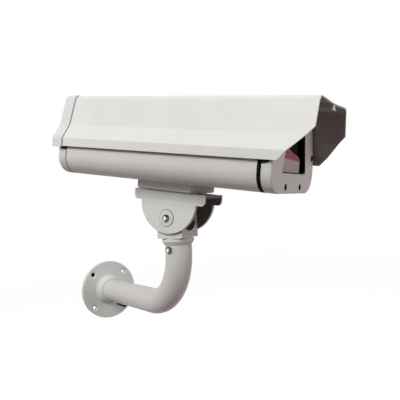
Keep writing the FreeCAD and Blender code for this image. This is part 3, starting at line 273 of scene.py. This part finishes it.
# Hole plug: the upper left screw hole is filled with a black rubber plug, pressed in from the
# front, with a small dimple in its end. It goes with the flange.
def dull_black(name, colour, rough):
    """Nearly black, matt and faintly mottled: moulded rubber or plastic, or blackened steel."""
    black, tree, look = principled(name)
    look["Specular IOR Level"].default_value = 0.04
    bloom = noise(tree, 160.0, 5.0)
    deep = [part * 0.7 for part in colour]
    pale = [part * 1.5 for part in colour]
    tree.links.new(shaded(tree, bloom, deep, pale), look["Base Color"])
    tree.links.new(spread(tree, bloom, rough - 0.1, rough + 0.1), look["Roughness"])
    tree.links.new(raised(tree, bloom, 0.15, 0.0003).outputs["Normal"], look["Normal"])
    return black


rubber_black = (0.005, 0.0045, 0.0045)
plug_radius = 0.0031
plug_length = 0.0031
plug_middle = -0.0018
bpy.ops.object.select_all(action="DESELECT")
bpy.ops.mesh.primitive_cylinder_add(vertices=32, radius=plug_radius, depth=plug_length,
                                    location=(-hole_place, plug_middle, hole_place),
                                    rotation=(math.radians(90.0), 0.0, 0.0))
hole_plug = bpy.context.object
hole_plug.name = "flange_hole_plug"
bpy.ops.object.transform_apply(location=True, rotation=True, scale=True)
bpy.ops.object.mode_set(mode="EDIT")
bpy.ops.mesh.select_mode(type="FACE")
bpy.ops.mesh.select_all(action="DESELECT")
bpy.ops.object.mode_set(mode="OBJECT")
for face in hole_plug.data.polygons:
    face.select = face.normal.y < -0.9
bpy.ops.object.mode_set(mode="EDIT")
for ring_width, ring_rise in ((0.0004, 0.0003), (0.0010, 0.0), (0.0004, -0.0005)):
    bpy.ops.mesh.inset(thickness=ring_width, depth=ring_rise)
bpy.ops.object.mode_set(mode="OBJECT")
bpy.ops.object.shade_smooth_by_angle(angle=math.radians(30.0))
hole_plug.data.materials.append(dull_black("hole_plug_rubber", rubber_black, 0.7))
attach(hole_plug, "base")

# Arm: one length of steel tube, bent cold through a right angle, welded into the flange's hub and
# painted with it.
finish_node("arm_pipe", powder_coat("pipe_paint", (0.72, 0.715, 0.70), rough=0.38))


# Swivel yoke: an aluminium casting whose spigot turns in the pipe, with a slightly coarser skin
# than the flange. Between its wings, above the block, the faces that look sideways are painted a
# dark grey: painted shade.
def shade_between_walls(paint, side, middle, reach, outward, low, colour):
    """Paints shade over the paint near a plane and above a height, but not on faces that look
    outward.
    """
    tree = paint.node_tree
    place = tree.nodes.new("ShaderNodeTexCoord").outputs
    across = math_step(tree, "VectorMath", "DOT_PRODUCT", place["Object"], side)
    within = math_step(tree, "Math", "COMPARE", across, side.dot(middle), reach)
    looks = math_step(tree, "VectorMath", "DOT_PRODUCT", place["Normal"], outward)
    hidden = math_step(tree, "Math", "COMPARE", looks, 0.0, 0.6)
    above = math_step(tree, "Math", "GREATER_THAN", along(tree, place["Object"], "Z"), low)
    inside = math_step(tree, "Math", "MULTIPLY", within, hidden)
    paint_over(paint, math_step(tree, "Math", "MULTIPLY", inside, above), colour)


pivot = Vector((0.0, -0.249, 0.1286))
pan_turn = math.radians(-66.0)
tilt_turn = math.radians(9.2)
tilt_axis = Vector((-math.sin(pan_turn), math.cos(pan_turn), 0.0))
swivel_front = Vector((math.cos(pan_turn), math.sin(pan_turn), 0.0))
channel_shade_grey = (0.165, 0.150, 0.138)
valley_reach = 0.0158
block_height = 0.1085
yoke_paint = powder_coat("yoke_paint", (0.79, 0.80, 0.775), rough=0.45, peel=0.2)
# Between the wings the paint is painted over dark grey: painted shade.
shade_between_walls(yoke_paint, tilt_axis, pivot, valley_reach, swivel_front, block_height, channel_shade_grey)
finish_node("swivel_yoke", yoke_paint)


# Tilt table: an aluminium casting, a channel with two round ears, that the tilt bolt holds on the
# yoke. It has the yoke's finish outside, with a dark ring painted round the bolt's boss, painted
# shade in the groove there, and a dark grey painted inside the channel, where the yoke turns,
# painted shade too.
def seen_from(tree, middle, turn):
    """The spot's place as counted from a turned frame with its origin at middle."""
    place = tree.nodes.new("ShaderNodeTexCoord")
    turned = tree.nodes.new("ShaderNodeMapping")
    turned.vector_type = "TEXTURE"
    turned.inputs["Location"].default_value = middle
    turned.inputs["Rotation"].default_value = turn
    tree.links.new(place.outputs["Object"], turned.inputs["Vector"])
    return turned.outputs["Vector"]


head_turn = Euler((0.0, tilt_turn, pan_turn)).to_matrix()
head_angles = head_turn.to_euler()
own_axis = (0.0, 0.0, 0.0)
rim_outside = 0.0123
rim_inside = 0.01117
channel_reach = 0.02125
table_paint = powder_coat("table_paint", (0.755, 0.765, 0.74), rough=0.45, peel=0.2)
table = table_paint.node_tree
table_spot = seen_from(table, pivot, head_angles)
# A ring round the bolt's boss is painted dark: painted shade in the groove there.
boss_groove_shade = math_step(table, "Math", "SUBTRACT",
                     near_line(table, table_spot, round_y, own_axis, rim_outside),
                     near_line(table, table_spot, round_y, own_axis, rim_inside))
paint_over(table_paint, boss_groove_shade, (0.30, 0.305, 0.285))
# Inside the channel the paint is painted over dark grey: painted shade.
shade_between_walls(table_paint, tilt_axis, pivot, channel_reach, (0.0, 0.0, 1.0), 0.0, channel_shade_grey)
finish_node("tilt_table", table_paint)

# Foot plate: an aluminium block in the same paint, screwed to the underside of the body. It keeps
# the tilt table clear of the housing's rounded bottom.
finish_node("foot_plate", powder_coat("foot_paint", (0.74, 0.735, 0.715), rough=0.45))


# Screws, nut and washer: turned stainless steel with a faint machining haze. They hold the table,
# the foot plate, the tray and the sunshield, and the nut and washer close the tilt bolt.
def machined_metal(name, colour, rough):
    """Bare turned or rolled metal with a fine haze."""
    metal, tree, look = principled(name)
    look["Metallic"].default_value = 1.0
    haze = noise(tree, 400.0, 3.0)
    hazed = [part * 0.82 for part in colour]
    tree.links.new(shaded(tree, haze, hazed, colour), look["Base Color"])
    tree.links.new(spread(tree, haze, rough - 0.08, rough + 0.12), look["Roughness"])
    return metal


screw_steel = machined_metal("screw_steel", (0.50, 0.495, 0.49), 0.2)
for name in ("tilt_washer", "tilt_nut", "table_screws", "foot_screws", "retainer_screws",
             "sunshield_end_screw", "sunshield_screws", "tray_screws", "camera_screw"):
    finish_node(name, screw_steel)

# Tilt bolt and set screws: bright steel, painted dark on the head beyond a small disc round the
# axis: a painted highlight in and round the socket and a painted dark reflection outside it. The
# bolt goes through ears and wings, and the set screws through the pipe's top end. Each mask is
# counted from the screw's own axis.
round_x = (0.0, 1.0, 1.0)
set_screw_middle = (0.0, -0.249, 0.084)
set_screw_angles = (0.0, 0.0, math.radians(195.0))
for name, middle, turn, across, highlight_radius in (
        ("tilt_bolt", pivot, head_angles, round_y, 0.0024),
        ("swivel_set_screws", set_screw_middle, set_screw_angles, round_x, 0.0027)):
    highlight_steel = machined_metal(name + "_steel", (0.95, 0.94, 0.93), 0.16)
    highlight_nodes = highlight_steel.node_tree
    highlight_disc = near_line(highlight_nodes, seen_from(highlight_nodes, middle, turn), across, own_axis, highlight_radius)
    # Outside the disc round the axis the head is painted dark, a painted dark reflection; the
    # bright steel within it is a painted highlight.
    paint_over(highlight_steel, math_step(highlight_nodes, "Math", "SUBTRACT", 1.0, highlight_disc), (0.13, 0.125, 0.12))
    finish_node(name, highlight_steel)

# Cap screws: steel, painted near black and dull as a painted shade for the caps' recesses they
# are sunk in. They hold the end caps on the body's screw ports.
# The screws are painted near black: painted shade in the recesses.
recess_shade_steel = dull_black("recess_shade_steel", (0.010, 0.0095, 0.009), 0.5)
finish_node("front_cap_screws", recess_shade_steel)
finish_node("rear_cap_screws", recess_shade_steel)

# Housing body: an aluminium extrusion, powder coated light warm grey. The two end caps close it,
# and it stands on the foot plate.
finish_node("body_shell", powder_coat("body_paint", (0.70, 0.695, 0.68), rough=0.4))

# End caps: aluminium castings in a slightly greener grey than the body. The screws' recesses are
# painted black inside, painted shade, and so is a strip just under the sunshield's lip, painted
# shade where the lip shades the cap.
low_port = (0.0, 0.025, 0.058)
side_port = (0.0, 0.06267, 0.097)
recess_reach = 0.0043
recess_shade_black = (0.012, 0.011, 0.011)
lip_middle = (0.1530, 0.0722, 0.0876)
lip_shape = (0.42, 1.0, 1.0)
lip_reach = 0.0046
cap_paint = powder_coat("cap_paint", (0.67, 0.675, 0.65), rough=0.4)
cap = cap_paint.node_tree
cap_corner = folded(cap, seen_from(cap, pivot, head_angles))
# The screws' recesses are painted black: painted shade.
for port in (low_port, side_port):
    paint_over(cap_paint, near_line(cap, cap_corner, round_x, port, recess_reach), recess_shade_black)
# A strip under the sunshield's lip is painted black: painted shade.
paint_over(cap_paint, near_line(cap, cap_corner, lip_shape, lip_middle, lip_reach), recess_shade_black)
finish_node("front_cap", cap_paint)
finish_node("rear_cap", cap_paint)

# Gaskets and seals: the same moulded black rubber as the hole plug. They are clamped between the
# body and its caps, round the window and under the cable plugs.
seal_rubber = dull_black("seal_rubber", rubber_black, 0.7)
for name in ("front_gasket", "rear_gasket", "window_seal", "plug_seals"):
    finish_node(name, seal_rubber)

# Cable plugs and window retainer: black moulded plugs in the rear cap's two cable entries, and the
# frame that clamps the pane from inside, finished in the same matt black.
plug_plastic = dull_black("plug_plastic", (0.02, 0.02, 0.02), 0.45)
finish_node("cable_plugs", plug_plastic)
finish_node("window_retainer", plug_plastic)

# Window: a flat pane of dark tinted glass with a coating against reflections. The retainer presses
# it on the seal from behind.
window_glass, _, pane = principled("window_glass")
pane["Base Color"].default_value = (0.10, 0.105, 0.105, 1.0)
pane["Roughness"].default_value = 0.02
pane["Transmission Weight"].default_value = 1.0
pane["IOR"].default_value = 1.22
finish_node("window_glass", window_glass)

# Label: a thin film stuck on the front of the pane, plain pale grey below and plain muted red
# above, cut on a slant along its top. It is cut from a sheet, then given the film's thickness. The
# small print that the photo shows on it is left out.
head_place = Matrix.Translation(pivot) @ head_turn.to_4x4()
film_front = 0.16245
film_thickness = 0.00012
label_corners = ((-42.0, 74.7), (31.0, 74.7), (30.0, 93.0), (23.0, 97.0), (-38.5, 108.3))
mm = 0.001
bpy.ops.object.select_all(action="DESELECT")
bpy.ops.mesh.primitive_plane_add(size=0.1, location=(film_front, 0.0, 0.09),
                                 rotation=(0.0, math.radians(90.0), 0.0))
label = bpy.context.object
label.name = "window_label"
bpy.ops.object.transform_apply(location=True, rotation=True, scale=True)
bpy.ops.object.mode_set(mode="EDIT")
for start, end in zip(label_corners, label_corners[1:] + label_corners[:1]):
    bpy.ops.mesh.select_all(action="SELECT")
    across = Vector((0.0, end[1] - start[1], start[0] - end[0])).normalized()
    bpy.ops.mesh.bisect(plane_co=(film_front, start[0] * mm, start[1] * mm), plane_no=across,
                        clear_outer=True)
bpy.ops.mesh.select_all(action="SELECT")
bpy.ops.mesh.extrude_region_move(TRANSFORM_OT_translate={"value": (film_thickness, 0.0, 0.0)})
bpy.ops.mesh.select_all(action="SELECT")
bpy.ops.mesh.normals_make_consistent(inside=False)
bpy.ops.object.mode_set(mode="OBJECT")
label.matrix_world = head_place @ label.matrix_world
bpy.ops.object.transform_apply(location=True, rotation=True, scale=True)
red_from = Vector((film_front, 0.0, 0.0915))
red_up = head_turn @ Vector((0.0, 0.035, 1.0))
label_film, film, film_look = principled("label_film")
film_look["Roughness"].default_value = 0.55
film_look["Specular IOR Level"].default_value = 0.15
film_spot = film.nodes.new("ShaderNodeTexCoord").outputs["Object"]
film_height = math_step(film, "VectorMath", "DOT_PRODUCT", film_spot, red_up)
fibre = noise(film, 300.0, 2.0)
film_print = film.nodes.new("ShaderNodeMix")
film_print.data_type = "RGBA"
film.links.new(math_step(film, "Math", "GREATER_THAN", film_height,
                         red_up.dot(head_place @ red_from)), film_print.inputs["Factor"])
film.links.new(shaded(film, fibre, (0.50, 0.435, 0.43), (0.62, 0.55, 0.54)),
               film_print.inputs["A"])
film.links.new(shaded(film, fibre, (0.34, 0.075, 0.115), (0.42, 0.115, 0.155)),
               film_print.inputs["B"])
film.links.new(film_print.outputs["Result"], film_look["Base Color"])
label.data.materials.append(label_film)
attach(label, "head")


# Sunshield: one aluminium extrusion cut to length, screwed to the body through its centre rail and
# powder coated off-white outside. Its inside is painted a dull brown grey, painted shade for the
# shadow under the roof, and so is the roof's cut front edge. The rail's end stays light.
def shade_inward_faces(paint, middle, axis, depth, colour):
    """Paints shade over the paint on surfaces that face an axis from at least that far away."""
    tree = paint.node_tree
    place = tree.nodes.new("ShaderNodeTexCoord").outputs
    out = math_step(tree, "VectorMath", "SUBTRACT", place["Object"], middle)
    lengthwise = math_step(tree, "VectorMath", "PROJECT", out, axis)
    square = math_step(tree, "VectorMath", "SUBTRACT", out, lengthwise)
    facing = math_step(tree, "VectorMath", "DOT_PRODUCT", place["Normal"], square)
    paint_over(paint, math_step(tree, "Math", "LESS_THAN", facing, -depth), colour)


shield_axis = pivot + head_turn @ Vector((0.0, 0.0, 0.110))
head_front = head_turn @ Vector((1.0, 0.0, 0.0))
inner_depth = 0.022
past_near_wall = -0.050
rail_middle = (0.0, 0.0, 0.1515)
rail_reach = 0.0085
shield_paint = powder_coat("shield_paint", (0.80, 0.80, 0.785), rough=0.4)
# The inside is painted dull brown grey: painted shade.
shade_inward_faces(shield_paint, shield_axis, head_front, inner_depth, (0.355, 0.337, 0.325))
shield = shield_paint.node_tree
shield_normal = shield.nodes.new("ShaderNodeTexCoord").outputs["Normal"]
shield_spot = seen_from(shield, pivot, head_angles)
forward = math_step(shield, "VectorMath", "DOT_PRODUCT", shield_normal, head_front)
edge_face = math_step(shield, "Math", "GREATER_THAN", forward, 0.5)
roof_edge = math_step(shield, "Math", "GREATER_THAN", along(shield, shield_spot, "Y"),
                      past_near_wall)
rail_end = near_line(shield, shield_spot, round_x, rail_middle, rail_reach)
beside_rail = math_step(shield, "Math", "SUBTRACT", roof_edge, rail_end)
cut_edge_shade = math_step(shield, "Math", "MULTIPLY", edge_face, beside_rail)
# The roof's cut front edge is painted dark, painted shade, all but the rail's end.
paint_over(shield_paint, cut_edge_shade, (0.22, 0.207, 0.20))
finish_node("sunshield", shield_paint)

# End cap of the sunshield: an off-white moulding in the same profile, held by one screw in the
# rail's end. The washers under the top screws are off-white too.
end_moulding = powder_coat("end_moulding", (0.75, 0.752, 0.75), rough=0.36, peel=0.06)
finish_node("sunshield_end", end_moulding)
finish_node("sunshield_washers", end_moulding)

# Camera tray: plain aluminium sheet with turned-up sides, screwed to the ribs inside the body. It
# carries the camera.
finish_node("camera_tray", machined_metal("tray_metal", (0.62, 0.62, 0.63), 0.45))
